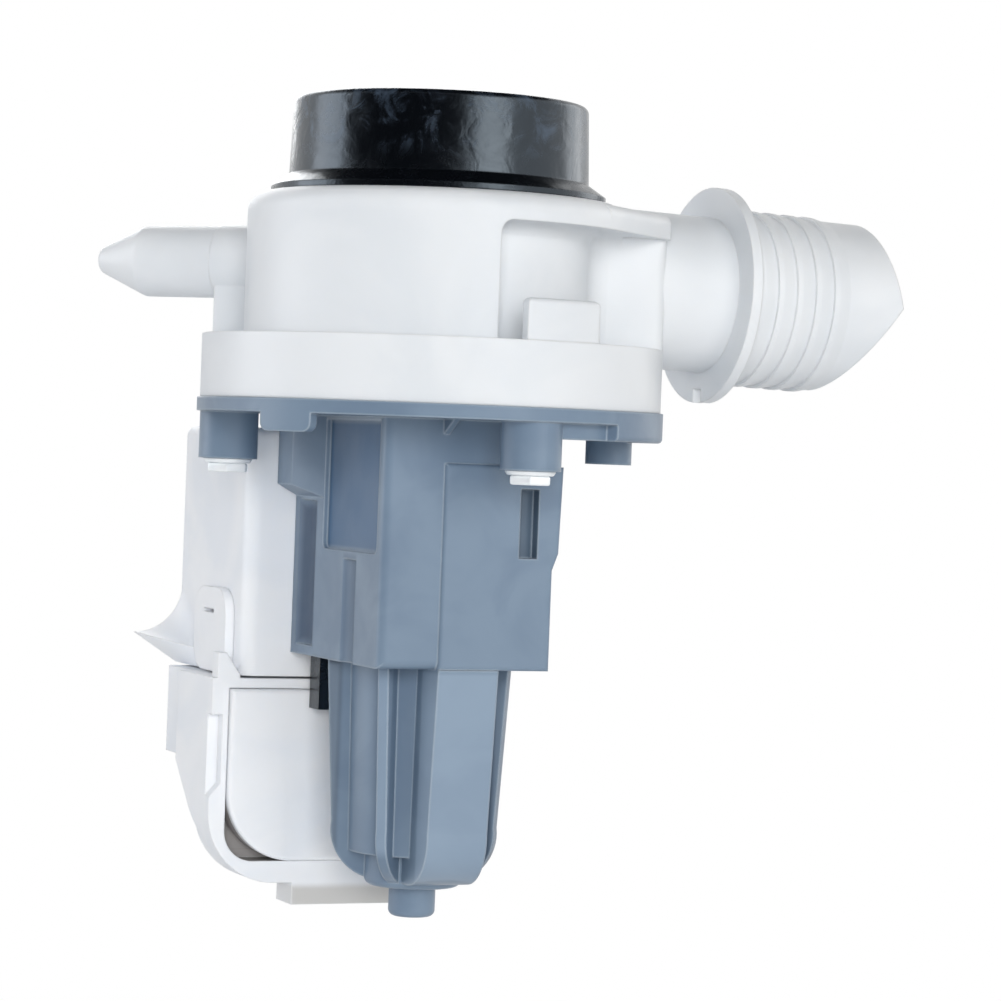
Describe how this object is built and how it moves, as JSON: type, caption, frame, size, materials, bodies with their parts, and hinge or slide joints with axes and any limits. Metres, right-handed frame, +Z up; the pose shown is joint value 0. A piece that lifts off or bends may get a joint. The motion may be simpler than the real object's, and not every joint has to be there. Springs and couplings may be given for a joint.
{
  "type": "drain pump",
  "caption": "Upright washer drain pump with a rubber inlet seal, scroll housing, barbed side outlet, ribbed rotor can and covered coils.",
  "frame": {"origin": "centre of the inlet mouth, at the top of the rubber seal", "axes": "+Z up along the inlet and rotor axis, out of the inlet; +X towards the outlet spout, which droops by 2 degrees; +Y towards the coils"},
  "size_m": [0.1389, 0.1042, 0.1451],
  "materials": {
    "white_moulding": "moulded polypropylene, satin",
    "cover_moulding": "moulded polyamide, satin",
    "grey_moulding": "moulded glass-filled polypropylene, satin",
    "black_moulding": "moulded acetal",
    "seal_rubber": "moulded EPDM rubber, semi-gloss",
    "plated_steel": "zinc plated",
    "stainless_steel": "ground",
    "core_steel": "varnished laminations",
    "bearing_bronze": "sintered",
    "ferrite": "sintered ferrite",
    "copper_wire": "enamelled copper wire",
    "tinned_brass": "tinned",
    "lead_insulation": "extruded insulation",
    "fuse_case": "moulded case"
  },
  "bodies": {
    "pump_body": {"volute_housing": "white_moulding", "inlet_seal": "seal_rubber", "motor_housing": "grey_moulding", "housing_gasket": "seal_rubber", "housing_screws": "plated_steel", "front_shield": "white_moulding", "shield_ring": "seal_rubber", "front_bush": "bearing_bronze", "thrust_washers": "stainless_steel", "rear_bush": "bearing_bronze", "rear_cup": "seal_rubber", "stator_poles": "core_steel", "stator_yoke": "core_steel", "core_rivets": "plated_steel", "coil_bobbins": "cover_moulding", "coil_windings": "copper_wire", "coil_cover": "cover_moulding", "cover_back_plate": "cover_moulding", "connector_shell": "cover_moulding", "front_panel": "cover_moulding", "cover_latch": "cover_moulding", "connector_socket": "cover_moulding", "blade_terminals": "tinned_brass", "coil_leads": "lead_insulation", "thermal_fuse": "fuse_case", "buffer_pad": "seal_rubber"},
    "rotor": {"rotor_shaft": "stainless_steel", "rotor_magnet": "ferrite", "rotor_carrier": "white_moulding", "drive_dog": "black_moulding"},
    "impeller_body": {"impeller": "white_moulding", "hub_damper": "seal_rubber", "hub_cap": "white_moulding"}
  },
  "joints": [
    {"name": "rotor_spin", "type": "hinge", "parent": "pump_body", "child": "rotor", "pos_m": [0, 0, -0.0606], "axis": [0, 0, 1], "continuous": true},
    {"name": "impeller_lag", "type": "hinge", "parent": "rotor", "child": "impeller_body", "pos_m": [0, 0, -0.0473], "axis": [0, 0, 1], "range_deg": [0, 172]}
  ]
}
